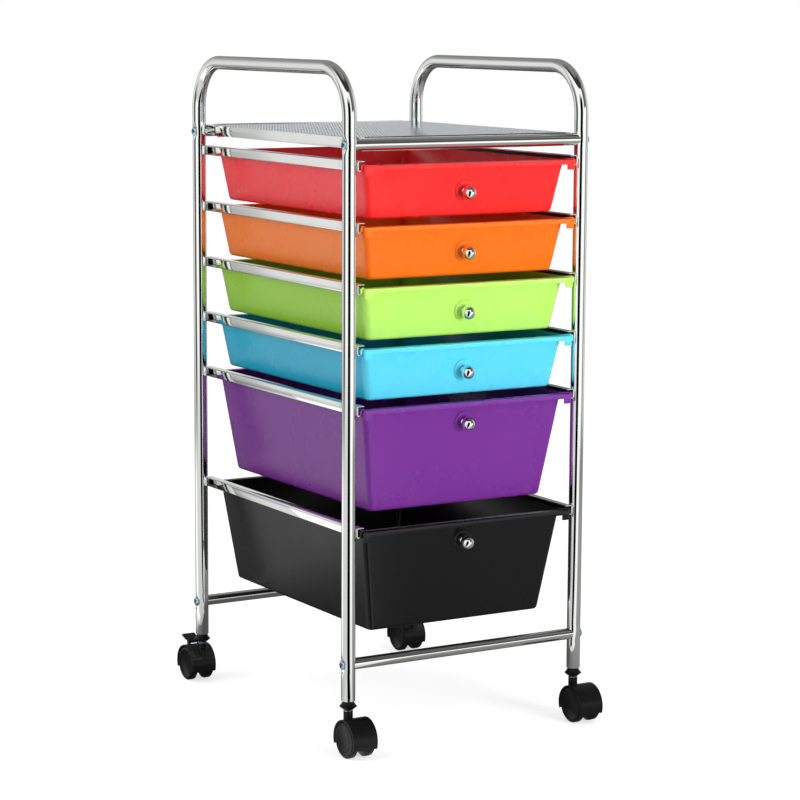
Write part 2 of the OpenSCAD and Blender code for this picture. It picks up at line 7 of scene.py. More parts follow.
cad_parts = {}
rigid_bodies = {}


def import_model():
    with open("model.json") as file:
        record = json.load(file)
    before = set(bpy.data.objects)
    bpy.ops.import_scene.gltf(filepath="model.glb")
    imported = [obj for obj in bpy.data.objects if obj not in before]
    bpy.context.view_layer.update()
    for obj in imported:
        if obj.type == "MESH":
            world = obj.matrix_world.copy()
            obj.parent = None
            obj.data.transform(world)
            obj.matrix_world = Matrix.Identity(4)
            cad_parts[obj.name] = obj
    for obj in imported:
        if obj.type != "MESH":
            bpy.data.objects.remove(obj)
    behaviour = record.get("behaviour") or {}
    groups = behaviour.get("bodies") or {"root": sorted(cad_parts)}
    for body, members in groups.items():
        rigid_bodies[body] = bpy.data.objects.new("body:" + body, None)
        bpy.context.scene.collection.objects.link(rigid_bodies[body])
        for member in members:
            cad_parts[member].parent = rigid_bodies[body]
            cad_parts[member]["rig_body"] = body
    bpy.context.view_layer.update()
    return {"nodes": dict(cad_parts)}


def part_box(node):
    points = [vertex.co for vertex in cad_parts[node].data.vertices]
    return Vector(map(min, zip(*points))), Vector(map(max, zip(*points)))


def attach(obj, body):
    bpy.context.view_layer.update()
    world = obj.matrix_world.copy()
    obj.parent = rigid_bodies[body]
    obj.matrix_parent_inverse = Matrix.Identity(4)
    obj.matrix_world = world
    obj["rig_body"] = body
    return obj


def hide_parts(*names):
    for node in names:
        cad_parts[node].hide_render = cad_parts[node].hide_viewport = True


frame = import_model()
mm = 0.001
print("frame loaded:", len(frame["nodes"]), "nodes")


# working with meshes, as by hand

def clearSelection():
    if bpy.context.object and bpy.context.object.mode != "OBJECT":
        bpy.ops.object.mode_set(mode="OBJECT")
    bpy.ops.object.select_all(action="DESELECT")


def makeActive(piece):
    clearSelection()
    piece.select_set(True)
    bpy.context.view_layer.objects.active = piece


def startEdit(piece, mode="VERT"):
    makeActive(piece)
    bpy.ops.object.mode_set(mode="EDIT")
    bpy.ops.mesh.select_mode(type=mode)


def stopEdit():
    bpy.ops.object.mode_set(mode="OBJECT")


def pickParts(piece, kind, test):
    bpy.ops.mesh.select_mode(type=kind)
    bpy.ops.mesh.select_all(action="DESELECT")
    mesh = bmesh.from_edit_mesh(piece.data)
    for part in {"VERT": mesh.verts, "EDGE": mesh.edges, "FACE": mesh.faces}[kind]:
        part.select_set(test(part))
    mesh.select_flush_mode()
    bmesh.update_edit_mesh(piece.data)


def pickPoints(piece, test):
    pickParts(piece, "VERT", lambda point: test(point.co))


def pickEdges(piece, test):
    pickParts(piece, "EDGE", lambda edge: test(edge.verts[0].co, edge.verts[1].co))


def pickFaces(piece, test):
    pickParts(piece, "FACE", lambda face: test(face.calc_center_median(), face.normal))


def movePicked(piece, place):
    mesh = bmesh.from_edit_mesh(piece.data)
    for point in mesh.verts:
        if point.select:
            point.co = Vector(place(point.co.copy()))
    bmesh.update_edit_mesh(piece.data)


def extrudeBy(x=0, y=0, z=0):
    bpy.ops.mesh.extrude_region_move(TRANSFORM_OT_translate={"value": (x, y, z)})


def pointOutwards(piece):
    startEdit(piece)
    bpy.ops.mesh.select_all(action="SELECT")
    bpy.ops.mesh.remove_doubles(threshold=0.00001)
    bpy.ops.mesh.normals_make_consistent(inside=False)
    stopEdit()


def addModifier(piece, kind, **settings):
    makeActive(piece)
    modifier = piece.modifiers.new(kind.title(), kind)
    for name, value in settings.items():
        setattr(modifier, name, value)
    bpy.ops.object.modifier_apply(modifier=modifier.name)


def softenEdges(piece, width, angle=60):
    addModifier(piece, "BEVEL", width=width, segments=2, limit_method="ANGLE",
                angle_limit=math.radians(angle), use_clamp_overlap=True)


def shadeSmooth(piece, angle=35):
    makeActive(piece)
    bpy.ops.object.shade_smooth_by_angle(angle=math.radians(angle))


def applyPlace():
    bpy.ops.object.transform_apply(location=True, rotation=True, scale=True)


def placeIt(piece, place, turn=(0, 0, 0)):
    makeActive(piece)
    piece.rotation_euler = turn
    piece.location = place
    applyPlace()


def copyOf(piece, name):
    twin = piece.copy()
    twin.data = piece.data.copy()
    twin.name = name
    twin.data.name = name
    bpy.context.scene.collection.objects.link(twin)
    return twin


def joinPieces(name, pieces):
    clearSelection()
    for piece in pieces:
        piece.select_set(True)
    bpy.context.view_layer.objects.active = pieces[0]
    bpy.ops.object.join()
    joined = bpy.context.object
    joined.name = name
    joined.data.name = name
    return joined


def addBox(name, low, high):
    clearSelection()
    bpy.ops.mesh.primitive_cube_add(size=1, location=(low + high) / 2, scale=high - low)
    box = bpy.context.object
    box.name = name
    applyPlace()
    return box


def turnedPiece(name, outline, sides):
    # outline: (radius, height) pairs in millimetres, from one end to the other along Z
    clearSelection()
    radius, height = outline[0]
    bpy.ops.mesh.primitive_circle_add(vertices=sides, radius=radius * mm, fill_type="NGON",
                                      location=(0, 0, height * mm))
    piece = bpy.context.object
    piece.name = name
    applyPlace()
    startEdit(piece, "FACE")
    bpy.ops.mesh.select_all(action="SELECT")
    for nextRadius, nextHeight in outline[1:]:
        extrudeBy(z=(nextHeight - height) * mm)
        growth = nextRadius / radius
        bpy.ops.transform.resize(value=(growth, growth, 1), center_override=(0, 0, 0),
                                 constraint_axis=(True, True, False))
        radius, height = nextRadius, nextHeight
    stopEdit()
    pointOutwards(piece)
    return piece


def roundOutline(radius, centre, fromAngle, toAngle, steps):
    # part of a ball's outline, its angles in degrees above the equator; the last point keeps a tiny radius
    points = []
    for step in range(steps + 1):
        angle = math.radians(fromAngle + (toAngle - fromAngle) * step / steps)
        points.append((max(radius * math.cos(angle), 0.02), centre + radius * math.sin(angle)))
    return points


def finishPiece(piece, finish, body, replaced):
    piece.data.materials.clear()
    piece.data.materials.append(finish)
    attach(piece, body)
    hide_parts(*replaced)
    return piece


# materials

class Wire:
    # a socket, or a number, that can be written in sums
    def __init__(self, finish, socket):
        self.finish = finish
        self.socket = socket

    def sum(self, operation, first, second):
        return self.finish.add("ShaderNodeMath", {"operation": operation}, {0: first, 1: second})

    def __add__(self, other):
        return self.sum("ADD", self, other)

    def __radd__(self, other):
        return self.sum("ADD", other, self)

    def __sub__(self, other):
        return self.sum("SUBTRACT", self, other)

    def __rsub__(self, other):
        return self.sum("SUBTRACT", other, self)

    def __mul__(self, other):
        return self.sum("MULTIPLY", self, other)

    def __rmul__(self, other):
        return self.sum("MULTIPLY", other, self)

    def clamped(self):
        return self.finish.add("ShaderNodeClamp", {}, {"Value": self})


class NodeSet:
    # the nodes of a material or of the world
    def __init__(self, tree):
        self.tree = tree
        tree.nodes.clear()

    def add(self, kind, settings=None, inputs=None, output=0):
        node = self.tree.nodes.new(kind)
        for name, value in (settings or {}).items():
            if name == "stops":
                ramp = node.color_ramp
                while len(ramp.elements) < len(value):
                    ramp.elements.new(0.5)
                for element, (position, colour) in zip(ramp.elements, value):
                    element.position = position
                    element.color = colour
            else:
                setattr(node, name, value)
        for name, value in (inputs or {}).items():
            if isinstance(value, Wire):
                self.tree.links.new(value.socket, node.inputs[name])
            else:
                node.inputs[name].default_value = value
        self.last = node
        return Wire(self, node.outputs[output]) if node.outputs else None


def newFinish(name, **constants):
    material = bpy.data.materials.new(name)
    material.use_nodes = True
    nodes = NodeSet(material.node_tree)
    shader = nodes.add("ShaderNodeBsdfPrincipled")
    nodes.shader = nodes.last
    for socket, value in constants.items():
        nodes.shader.inputs[socket].default_value = value
    nodes.add("ShaderNodeOutputMaterial", {}, {"Surface": shader})
    nodes.place = nodes.add("ShaderNodeTexCoord", {}, {}, "Object")
    nodes.material = material
    return nodes


def drive(nodes, socket, wire):
    nodes.tree.links.new(wire.socket, nodes.shader.inputs[socket])


def grain(nodes, scale, detail):
    settings = {"Vector": nodes.place, "Scale": scale, "Detail": detail}
    return nodes.add("ShaderNodeTexNoise", {}, settings, "Fac")


def bumpFrom(nodes, height, strength, distance):
    return nodes.add("ShaderNodeBump", {}, {"Height": height, "Strength": strength, "Distance": distance})


def mixColours(nodes, share, first, second):
    return nodes.add("ShaderNodeMix", {"data_type": "RGBA"}, {0: share, 6: first, 7: second}, 2)


# each grain is a size and a detail; roughness is the least and how much the grain adds;
# bump adds a strength and a height in metres to its grain
finishes = {
    "brightChrome": {   # mirror-like plating with a faint haze and a very slight ripple
        "constants": {"Metallic": 1.0}, "grain": (26, 4), "roughness": (0.035, 0.05),
        "dark": (0.86, 0.88, 0.85, 1), "light": (0.93, 0.945, 0.92, 1), "bump": (90, 2, 0.03, 0.0004),
    },
    "channelPaintedShade": {   # dull plating inside a channel, made dark as painted shade
        "constants": {"Metallic": 1.0}, "grain": (60, 3), "roughness": (0.4, 0.15),
        "dark": (0.09, 0.09, 0.088, 1), "light": (0.17, 0.17, 0.165, 1),
    },
    "netSteel": {   # the shelf's expanded metal: bright, bluish and a little hazy
        "constants": {"Metallic": 1.0}, "grain": (180, 3), "roughness": (0.07, 0.06),
        "dark": (0.70, 0.80, 0.89, 1), "light": (0.78, 0.88, 0.96, 1), "bump": (180, 3, 0.05, 0.0003),
    },
    "zincPlate": {   # bright plating of the screws, a little blue
        "constants": {"Metallic": 1.0}, "grain": (320, 4), "roughness": (0.16, 0.16),
        "dark": (0.42, 0.55, 0.64, 1), "light": (0.66, 0.80, 0.88, 1), "bump": (320, 4, 0.08, 0.0003),
    },
    "satinBlack": {   # black moulding with a fine spark-eroded grain
        "constants": {"IOR": 1.35}, "grain": (60, 3), "roughness": (0.3, 0.1),
        "dark": (0.003, 0.003, 0.003, 1), "light": (0.006, 0.006, 0.006, 1), "bump": (2600, 2, 0.12, 0.0002),
    },
}


def makeFinish(name):
    look = finishes[name]
    nodes = newFinish(name, **look["constants"])
    haze = grain(nodes, *look["grain"])
    least, spread = look["roughness"]
    drive(nodes, "Base Color", mixColours(nodes, haze, look["dark"], look["light"]))
    drive(nodes, "Roughness", least + spread * haze)
    if "bump" in look:
        scale, detail, strength, height = look["bump"]
        drive(nodes, "Normal", bumpFrom(nodes, grain(nodes, scale, detail), strength, height))
    return nodes.material


chrome = makeFinish("brightChrome")
channelShadeSteel = makeFinish("channelPaintedShade")
netSteel = makeFinish("netSteel")
zinc = makeFinish("zincPlate")
satinBlack = makeFinish("satinBlack")
print("materials made")


# side frames: bent tubes with a pressed seat at each screw

tube = {
    "radius": 8.5, "wall": 1.2, "edge": 0.3, "bend": 58, "sides": 40, "bendSteps": 18,
    "upperDent": 2.3, "lowerDent": 1.4, "dentReach": 13, "dentSteps": 8, "dentSpread": 0.02,
    "drain": 1.2, "drainDrop": 9.5, "drainSides": 20,
}


def bentTube(side):
    low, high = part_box(side + "_side_frame")
    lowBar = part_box("bottom_front_bar")
    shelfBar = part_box("shelf_front_bar")
    radius, bend = tube["radius"] * mm, tube["bend"] * mm
    x = (low.x + high.x) / 2
    frontY = low.y + radius
    bendZ = high.z - radius - bend
    screwHeights = [(lowBar[0].z + lowBar[1].z) / 2, (shelfBar[0].z + shelfBar[1].z) / 2]
    outward = -1 if side == "left" else 1
    clearSelection()
    bpy.ops.mesh.primitive_circle_add(vertices=tube["sides"], radius=radius, fill_type="NOTHING",
                                      location=(x, frontY, low.z))
    piece = bpy.context.object
    piece.name = side + "SideFrame"
    applyPlace()
    startEdit(piece)
    bpy.ops.mesh.select_all(action="SELECT")
    reach, steps = tube["dentReach"] * mm, tube["dentSteps"]
    stops = [low.z]
    for height in screwHeights:
        stops += [height - reach + step * reach / steps for step in range(2 * steps + 1)]
    stops.append(bendZ)
    for start, end in zip(stops, stops[1:]):
        extrudeBy(z=end - start)
    bpy.ops.mesh.spin(steps=tube["bendSteps"], angle=math.pi / 2, axis=(1, 0, 0),
                      center=(x, frontY + bend, bendZ))
    extrudeBy(y=-2 * (frontY + bend))
    bpy.ops.mesh.spin(steps=tube["bendSteps"], angle=math.pi / 2, axis=(1, 0, 0),
                      center=(x, -frontY - bend, bendZ))
    for start, end in zip(reversed(stops), list(reversed(stops))[1:]):
        extrudeBy(z=end - start)

    def pressed(point):
        # the outer side goes in at each screw, and the tube spreads a little there
        for height, depth in zip(screwHeights, (tube["lowerDent"], tube["upperDent"])):
            share = 1 - ((point.z - height) / reach) ** 2
            if share > 0:
                share = share * share
                lean = (point.x - x) * outward / radius
                postY = frontY if point.y < 0 else -frontY
                if lean > 0:
                    outermost = x * outward + radius - depth * mm * share
                    point.x = min(point.x * outward, outermost) * outward
                point.y = postY + (point.y - postY) * (1 + tube["dentSpread"] * depth * share)
        return point

    bpy.ops.mesh.select_all(action="SELECT")
    movePicked(piece, pressed)
    stopEdit()
    pointOutwards(piece)
    addModifier(piece, "SOLIDIFY", thickness=tube["wall"] * mm, offset=-1)
    softenEdges(piece, tube["edge"] * mm)
    for end in (-1, 1):
        clearSelection()
        bpy.ops.mesh.primitive_cylinder_add(
            vertices=tube["drainSides"], radius=tube["drain"] * mm, depth=radius,
            rotation=(0, math.pi / 2, 0),
            location=(x + outward * radius, end * frontY, screwHeights[0] - tube["drainDrop"] * mm))
        cutter = bpy.context.object
        applyPlace()
        addModifier(piece, "BOOLEAN", object=cutter, operation="DIFFERENCE", solver="EXACT")
        bpy.data.objects.remove(cutter)
    shadeSmooth(piece)
    return finishPiece(piece, chrome, "frame", [side + "_side_frame"])


for side in ("left", "right"):
    bentTube(side)
print("side frames made")


# channel rails

rail = {"thickness": 1.2, "fold": 1.6, "foldSteps": 4, "edge": 0.25, "paintedShadeFrom": 0.9}


def channelRail(name, low, high, openSide):
    piece = addBox(name, low, high)
    startEdit(piece)
    pickFaces(piece, lambda centre, normal: normal.x * openSide > 0.9 or abs(normal.y) > 0.9)
    bpy.ops.mesh.delete(type="FACE")
    webX = low.x if openSide > 0 else high.x
    pickEdges(piece, lambda a, b: max(abs(a.x - webX), abs(b.x - webX)) < 1e-5 and abs(a.y - b.y) > 0.1)
    bpy.ops.mesh.bevel(offset=rail["fold"] * mm, segments=rail["foldSteps"], affect="EDGES")
    stopEdit()
    addModifier(piece, "SOLIDIFY", thickness=rail["thickness"] * mm, offset=-1, use_even_offset=True)
    softenEdges(piece, rail["edge"] * mm)
    shadeSmooth(piece)
    return piece


for side, openSide in (("left", 1), ("right", -1)):
    for number in range(1, 7):
        node = "%s_rail_%d" % (side, number)
        low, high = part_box(node)
        piece = channelRail("%sRail%d" % (side, number), low, high, openSide)
        finishPiece(piece, chrome, "frame", [node])
        # faces inside the channel take a dark finish: painted shade
        piece.data.materials.append(channelShadeSteel)
        skin = rail["thickness"] * rail["paintedShadeFrom"] * mm   # faces deeper than this look inwards
        startEdit(piece)
        pickFaces(piece, lambda centre, normal: low.z + skin < centre.z < high.z - skin
                  and (centre.x - (low if openSide > 0 else high).x) * openSide > skin)
        piece.active_material_index = 1
        bpy.ops.object.material_slot_assign()
        stopEdit()
print("rails made")


# cross bars with saddle ends

bar = {"radius": 7, "gap": 0.05, "sides": 40, "rings": (-0.5, 1.5, 5), "saddleStep": 0.6}


def crossBar(node, name):
    low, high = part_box(node)
    y, z = (low.y + high.y) / 2, (low.z + high.z) / 2
    tubeLow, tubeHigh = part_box("right_side_frame")
    postX = (tubeLow.x + tubeHigh.x) / 2
    reach = (tube["radius"] + bar["gap"]) * mm
    rings = [reach + ring * mm for ring in bar["rings"]]   # as far from the post's centre line
    clearSelection()
    bpy.ops.mesh.primitive_circle_add(vertices=bar["sides"], radius=bar["radius"] * mm, fill_type="NGON",
                                      location=(-postX, y, z), rotation=(0, math.pi / 2, 0))
    piece = bpy.context.object
    piece.name = name
    applyPlace()
    startEdit(piece, "FACE")
    bpy.ops.mesh.select_all(action="SELECT")
    half = [0] + [postX - ring for ring in reversed(rings)] + [postX]
    stops = [-stop for stop in reversed(half[1:])] + half
    for start, end in zip(stops, stops[1:]):
        extrudeBy(x=end - start)

    def saddle(point):
        # the end face and the ring behind it follow the round of the post
        toEnd = postX - abs(point.x)
        if toEnd < reach:
            depth = math.sqrt(reach ** 2 - (point.y - y) ** 2)
            if toEnd > 0.1 * mm:
                depth += bar["saddleStep"] * mm
            point.x = math.copysign(postX - depth, point.x)
        return point

    bpy.ops.mesh.select_all(action="SELECT")
    movePicked(piece, saddle)
    stopEdit()
    pointOutwards(piece)
    shadeSmooth(piece)
    return finishPiece(piece, chrome, "frame", [node])


for level in ("bottom", "shelf"):
    for end in ("front", "rear"):
        crossBar("%s_%s_bar" % (level, end), level + end.title() + "Bar")
print("cross bars made")


# shelf: side strips and expanded mesh with folded edges

shelf = {
    "edge": 0.3, "sheet": 1.0, "border": 3.0, "acrossCell": 4.0, "alongCell": 7.6, "strand": 1.3,
    "meshSheet": 0.6, "lean": 0.1, "netPieces": 3, "setback": 12, "foldSteps": 10, "stub": 1,
}


def shelfStrip(node, name):
    piece = addBox(name, *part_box(node))
    softenEdges(piece, shelf["edge"] * mm)
    shadeSmooth(piece)
    return finishPiece(piece, chrome, "frame", [node])


def meshCell(across, along):
    # one staggered cell of expanded metal: a whole opening in its middle, a quarter of one at each corner;
    # each opening's back point lies lower than its front point, so the strands lean
    slant = math.hypot(across, along) / 2
    halfX = across / 2 - shelf["strand"] * mm * slant / along
    halfY = along / 2 - shelf["strand"] * mm * slant / across
    top = shelf["meshSheet"] * mm
    middle, back = top - shelf["lean"] * mm / 2, top - shelf["lean"] * mm
    left, right = (across / 2 - halfX, along / 2, middle), (across / 2 + halfX, along / 2, middle)
    lower, upper = (across / 2, along / 2 - halfY, top), (across / 2, along / 2 + halfY, back)
    frontLeft, frontRight = (halfX, 0, middle), (across - halfX, 0, middle)
    backLeft, backRight = (halfX, along, middle), (across - halfX, along, middle)
    leftLow, leftHigh = (0, halfY, back), (0, along - halfY, top)
    rightLow, rightHigh = (across, halfY, back), (across, along - halfY, top)
    midFront, midBack = (across / 2, 0, middle), (across / 2, along, middle)
    midLeft, midRight = (0, along / 2, middle), (across, along / 2, middle)
    faces = [
        (frontLeft, midFront, lower), (midFront, frontRight, lower), (frontLeft, lower, left, leftLow),
        (leftLow, left, midLeft), (midLeft, left, leftHigh), (leftHigh, left, upper, backLeft),
        (backLeft, upper, midBack), (midBack, upper, backRight), (backRight, upper, right, rightHigh),
        (rightHigh, right, midRight), (midRight, right, rightLow), (rightLow, right, lower, frontRight),
    ]
    mesh = bmesh.new()
    for face in faces:
        mesh.faces.new([mesh.verts.new(point) for point in face])
    data = bpy.data.meshes.new("meshCell")
    mesh.to_mesh(data)
    mesh.free()
    return data


def netPiece(name, start, across, along, columns, rows):
    piece = bpy.data.objects.new(name, meshCell(across, along))
    bpy.context.scene.collection.objects.link(piece)
    for step, count in (((across, 0, 0), columns), ((0, along, 0), rows)):
        addModifier(piece, "ARRAY", count=count, use_relative_offset=False, use_constant_offset=True,
                    constant_offset_displace=step, use_merge_vertices=True, merge_threshold=0.00002)
    placeIt(piece, start)
    startEdit(piece)
    bpy.ops.mesh.select_all(action="SELECT")
    bpy.ops.mesh.remove_doubles(threshold=0.00002)
    stopEdit()
    addModifier(piece, "SOLIDIFY", thickness=shelf["meshSheet"] * mm, offset=-1)
    return finishPiece(piece, netSteel, "frame", ["shelf_mesh"])


def topFaceUp(piece):
    return max(piece.data.polygons, key=lambda face: face.center.z).normal.z > 0


def foldedEdge(end, halfWidth, barY, barZ, top, bottom):
    # the sheet's edge bends down round the shelf bar and hangs straight below it
    stub = shelf["stub"] * mm
    clearSelection()
    bpy.ops.mesh.primitive_plane_add(size=2 * halfWidth, location=(0, barY - end * stub, top))
    piece = bpy.context.object
    bpy.ops.transform.resize(value=(1, stub / halfWidth, 1))
    applyPlace()
    startEdit(piece, "EDGE")
    pickEdges(piece, lambda a, b: abs(a.y - barY) < 1e-5 and abs(b.y - barY) < 1e-5)
    bpy.ops.mesh.spin(steps=shelf["foldSteps"], angle=math.pi / 2, axis=(-end, 0, 0), center=(0, barY, barZ))
    extrudeBy(z=bottom - barZ)
    stopEdit()
    pointOutwards(piece)
    addModifier(piece, "SOLIDIFY", thickness=shelf["sheet"] * mm, offset=-1 if topFaceUp(piece) else 1,
                use_even_offset=True)
    softenEdges(piece, shelf["edge"] * mm)
    return piece


def shelfMesh():
    low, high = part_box("shelf_mesh")
    barLow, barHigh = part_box("shelf_rear_bar")
    barY, barZ = (barLow.y + barHigh.y) / 2, (barLow.z + barHigh.z) / 2
    border, sheet = shelf["border"] * mm, shelf["sheet"] * mm
    width, length = high.x - low.x - 2 * border, 2 * (barY - border)
    columns = round(width / (shelf["acrossCell"] * mm))
    rows = round(length / (shelf["alongCell"] * mm))
    across, along = width / columns, length / rows
    netZ = high.z - shelf["meshSheet"] * mm
    start = 0
    for number in range(1, shelf["netPieces"] + 1):
        stop = round(rows * number / shelf["netPieces"])
        netPiece("shelfNet%d" % number, (low.x + border, border - barY + start * along, netZ),
                 across, along, columns, stop - start)
        start = stop
    spans = [
        ((low.x, -barY, high.z - sheet), (low.x + border + sheet, barY, high.z)),
        ((high.x - border - sheet, -barY, high.z - sheet), (high.x, barY, high.z)),
        ((low.x, -barY, high.z - sheet), (high.x, -barY + border + sheet, high.z)),
        ((low.x, barY - border - sheet, high.z - sheet), (high.x, barY, high.z)),
    ]
    edges = []
    for start, end in spans:
        edge = addBox("rimStrip", Vector(start), Vector(end))
        softenEdges(edge, shelf["edge"] * mm)
        edges.append(edge)
    for end in (-1, 1):
        edges.append(foldedEdge(end, high.x - shelf["setback"] * mm, end * barY, barZ, high.z, low.z))
    rim = joinPieces("shelfMeshRim", edges)
    shadeSmooth(rim)
    finishPiece(rim, chrome, "frame", ["shelf_mesh"])


shelfStrip("shelf_left_strip", "shelfLeftStrip")
shelfStrip("shelf_right_strip", "shelfRightStrip")
shelfMesh()
print("shelf made")


# frame screws

screw = {
    "outline": [(6, -1.2), (6, 0.78), (5.76, 1.43), (4.8, 2.444), (4.3, 2.6)], "sides": 36,
    "headHeight": 2.6, "flatRadius": 4.3, "socket": 2.1, "socketDepth": 1.6,
}


def buttonScrew():
    head = turnedPiece("screwHead", screw["outline"], screw["sides"])
    startEdit(head, "FACE")
    pickFaces(head, lambda centre, normal: normal.z > 0.95)
    bpy.ops.mesh.inset(thickness=(screw["flatRadius"] - screw["socket"]) * mm, depth=0)
    extrudeBy(z=-screw["socketDepth"] * mm)
    stopEdit()
    shadeSmooth(head, 30)
    return head


def frameScrews():
    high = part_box("frame_screws")[1]
    heads = []
    pattern = buttonScrew()
    depths = {"bottom_front_bar": tube["lowerDent"], "shelf_front_bar": tube["upperDent"]}
    for side in (-1, 1):
        for end in (-1, 1):
            for level, dent in depths.items():
                barLow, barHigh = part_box(level)
                head = copyOf(pattern, "screwCopy")
                x = side * (high.x - (screw["headHeight"] + dent) * mm)
                y = end * abs((barLow.y + barHigh.y) / 2)
                placeIt(head, (x, y, (barLow.z + barHigh.z) / 2), (0, side * math.pi / 2, 0))
                heads.append(head)
    bpy.data.objects.remove(pattern)
    piece = joinPieces("frameScrewHeads", heads)
    finishPiece(piece, zinc, "frame", ["frame_screws"])


frameScrews()
print("frame screws made")


# drawers

knob = {
    "ball": 8.5, "reach": 11.8, "ballFrom": -60, "ballSteps": 20, "sides": 48,
    "neck": [(4.6, 1.55), (4.6, 2.25), (4.2, 2.65), (4.0, 2.95), (3.7, 3.55)],
}
drawer = {
    "wall": 1.8, "corner": 7, "cornerSteps": 8, "bottomRound": 4, "bottomSteps": 4, "edge": 0.8,
    "sideRim": 10.2, "frontRim": 13, "backRim": 9.5, "lip": 5.4, "tab": 11.6, "tabWidth": 11, "tabDepth": 5.4,
    "setback": 3.6, "railGap": 0.6, "sideStart": 12, "notch": 1.5, "lipRound": 1, "lipFlat": 3, "tabStep": 4,
    "backCorner": 6, "smallSlopes": (0.17, 0.16, 0.1), "largeSlopes": (0.145, 0.14, 0.1),
    "boss": [(13, -0.6), (13, 0.525), (12.8, 0.975), (12.4, 1.35), (11.9, 1.5), (5, 1.5), (4.4, 1.1)],
    "bossSides": 56,
}
moulding = {
    "IOR": 1.46, "cloud": (14, 3), "cloudShade": 0.06, "roughness": (0.22, 0.1),
    "peel": (420, 2), "peelStrength": 0.035, "peelHeight": 0.0004, "paintedLightFrom": 4, "paintedLightOver": 6,
}


# name, colour of the front wall, colour of the rest with painted shade and painted sheen, and how deep the
# light goes
binColours = [
    ("red", (0.97, 0.034, 0.034, 1), (0.97, 0.078, 0.09, 1), (2, 0.4, 0.4)),
    ("orange", (1.0, 0.205, 0.01, 1), (1.0, 0.245, 0.04, 1), (1.6, 1, 0.2)),
    ("green", (0.54, 0.88, 0.18, 1), (0.35, 0.64, 0.06, 1), (2, 1.6, 0.4)),
    ("cyan", (0.13, 0.72, 0.95, 1), (0.025, 0.46, 0.66, 1), (0.4, 1.6, 1.8)),
    ("purple", (0.212, 0.034, 0.33, 1), (0.205, 0.034, 0.3, 1), (1.5, 0.4, 1.5)),
    ("dark", (0.003, 0.003, 0.003, 1), (0.003, 0.003, 0.003, 1), (0, 0, 0)),
]


def slopesOf(number):
    # how far the side, front and back walls lean in for each unit down
    return drawer["smallSlopes"] if number < 5 else drawer["largeSlopes"]


def binFinish(number, name, front, restWithPaintedLight, depth):
    # glossy coloured moulding that lets some light through, with one colour for the front wall and one
    # for the rest, which carries painted shade and painted sheen; depth says how far red, green and blue
    # light go into it, in millimetres
    nodes = newFinish(name, **{
        "IOR": moulding["IOR"], "Subsurface Weight": 1.0 if any(depth) else 0.0,
        "Subsurface Scale": 1.0, "Subsurface Radius": [value * mm for value in depth]})
    cloudy = grain(nodes, *moulding["cloud"])
    peel = grain(nodes, *moulding["peel"])
    low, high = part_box("drawer_%d_bin" % number)
    away = nodes.add("ShaderNodeSeparateXYZ", {}, {0: nodes.place}, 1)
    height = nodes.add("ShaderNodeSeparateXYZ", {}, {0: nodes.place}, 2)
    # behind the front wall the colour turns to the rest's colour: painted shade and painted sheen on the
    # sides
    behind = away - (low.y + drawer["frontRim"] * mm) - slopesOf(number)[1] * (high.z - height)
    share = ((behind - moulding["paintedLightFrom"] * mm) * (1 / (moulding["paintedLightOver"] * mm))).clamped()
    toneWithPaintedLight = mixColours(nodes, share, front, restWithPaintedLight)
    least, spread = moulding["roughness"]
    drive(nodes, "Base Color", mixColours(nodes, moulding["cloudShade"] * cloudy, toneWithPaintedLight, (0, 0, 0, 1)))
    drive(nodes, "Roughness", least + spread * cloudy)
    drive(nodes, "Normal", bumpFrom(nodes, peel, moulding["peelStrength"], moulding["peelHeight"]))
    return nodes.material


def knobSeat(number):
    # the point of the front wall under the knob, and the turn that points upwards out of that wall
    slope = slopesOf(number)[1]
    tilt = math.atan(slope)
    low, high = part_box("drawer_%d_knob" % number)
    binLow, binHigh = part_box("drawer_%d_bin" % number)
    drop = binHigh.z - (low.z + high.z) / 2 - math.sin(tilt) * knob["reach"] * mm
    place = (0, binLow.y + drawer["frontRim"] * mm + drop * slope, binHigh.z - drop)
    return place, (math.pi / 2 + tilt, 0, 0)


